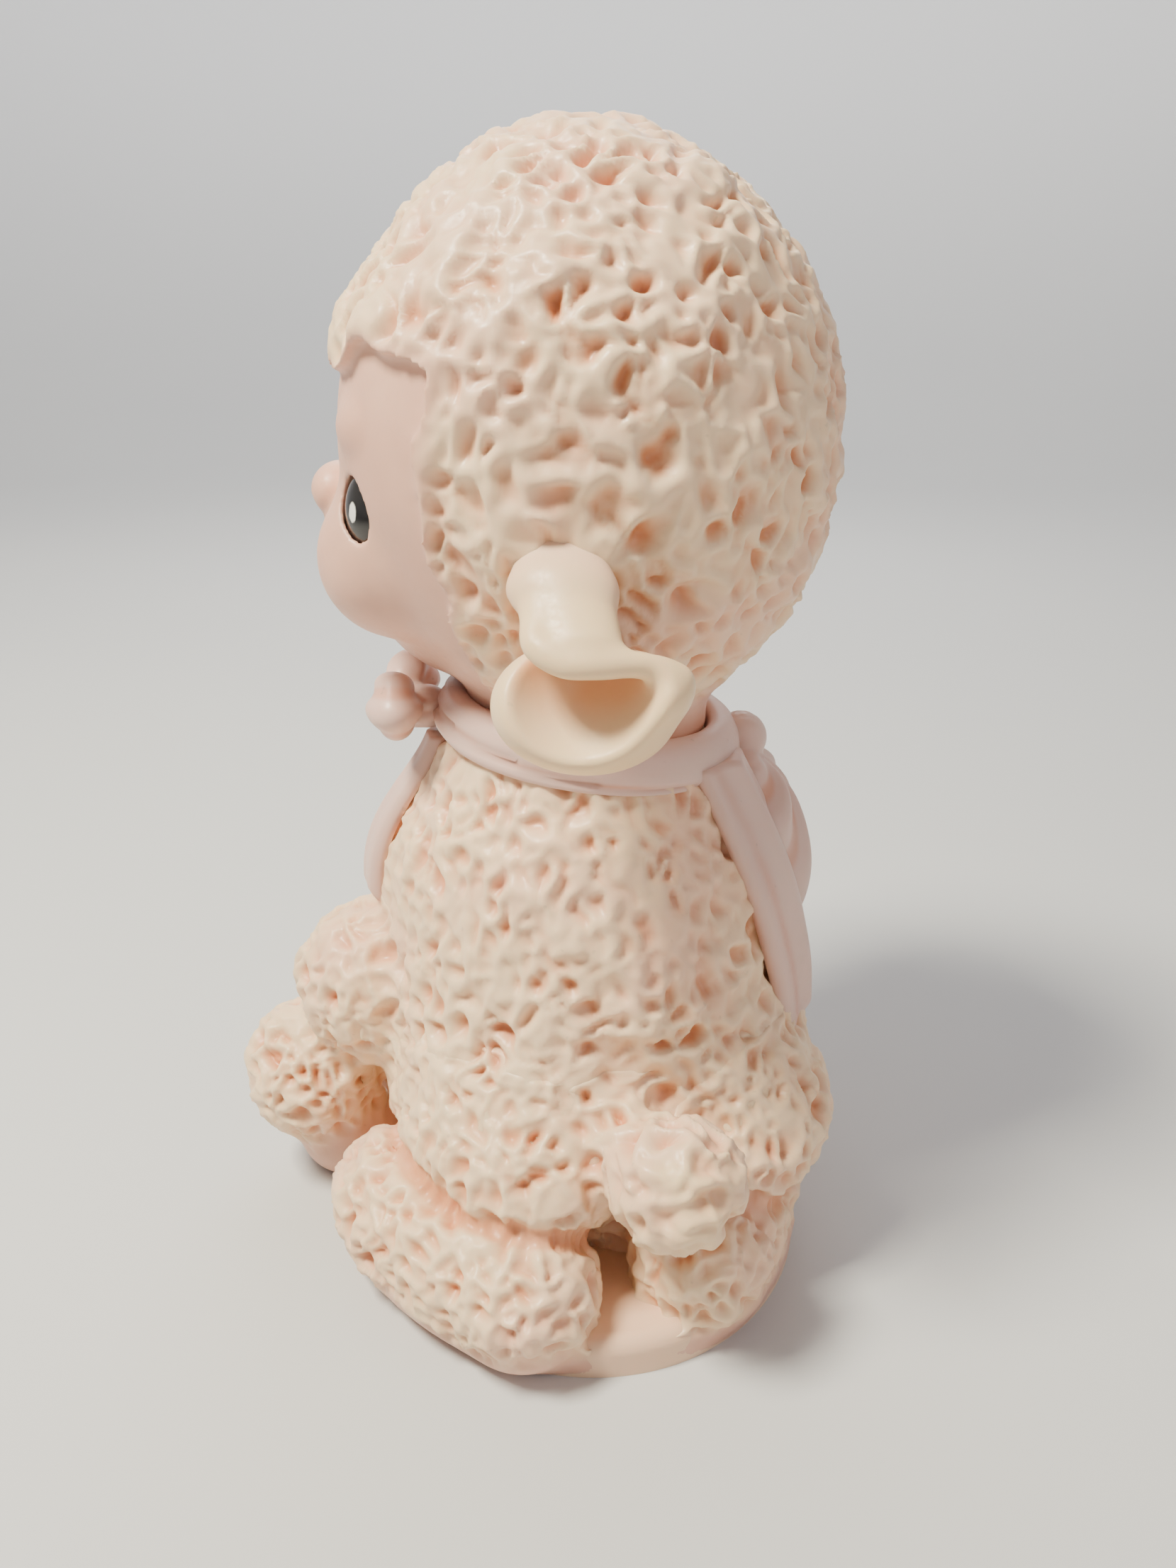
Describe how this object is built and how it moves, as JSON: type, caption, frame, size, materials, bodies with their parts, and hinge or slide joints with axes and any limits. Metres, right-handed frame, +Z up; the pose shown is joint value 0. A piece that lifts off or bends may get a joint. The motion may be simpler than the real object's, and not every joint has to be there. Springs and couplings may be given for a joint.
{
  "type": "lamb figurine",
  "caption": "Seated woolly lamb toy in hollow soft vinyl, with a turning head, folded ears, a neck ribbon with bows, a ball tail and a whistle in its flat base.",
  "frame": {"origin": "on the head's turning axis, in the plane of the flat underside of the base plate", "axes": "+Z up along the head's turning axis; the body faces -Y; the lamb's left side is +X"},
  "size_m": [0.1364, 0.1338, 0.219],
  "materials": {
    "woolly_vinyl": "soft satin vinyl with moulded wool relief",
    "smooth_vinyl": "smooth satin vinyl",
    "ribbon_vinyl": "smooth satin vinyl, slightly grubby",
    "eye_paint": "glossy black",
    "whistle_metal": "stamped, dull"
  },
  "bodies": {
    "body": {"base_plate": "smooth_vinyl", "whistle_cup": "whistle_metal", "whistle_cap": "whistle_metal", "torso_shell": "woolly_vinyl", "left_hind_leg": "woolly_vinyl", "right_hind_leg": "woolly_vinyl", "left_front_leg": "woolly_vinyl", "right_front_leg": "woolly_vinyl", "tail": "woolly_vinyl", "ribbon_band": "ribbon_vinyl", "side_bow": "ribbon_vinyl", "side_bow_tail": "ribbon_vinyl", "chin_bow": "ribbon_vinyl", "chin_bow_tail": "ribbon_vinyl"},
    "head": {"head_shell": "woolly_vinyl", "left_ear": "smooth_vinyl", "right_ear": "smooth_vinyl", "left_eye": "eye_paint", "right_eye": "eye_paint"}
  },
  "joints": [
    {"name": "head_turn", "type": "hinge", "parent": "body", "child": "head", "pos_m": [0, 0, 0.109], "axis": [0, 0, 1], "continuous": true}
  ]
}
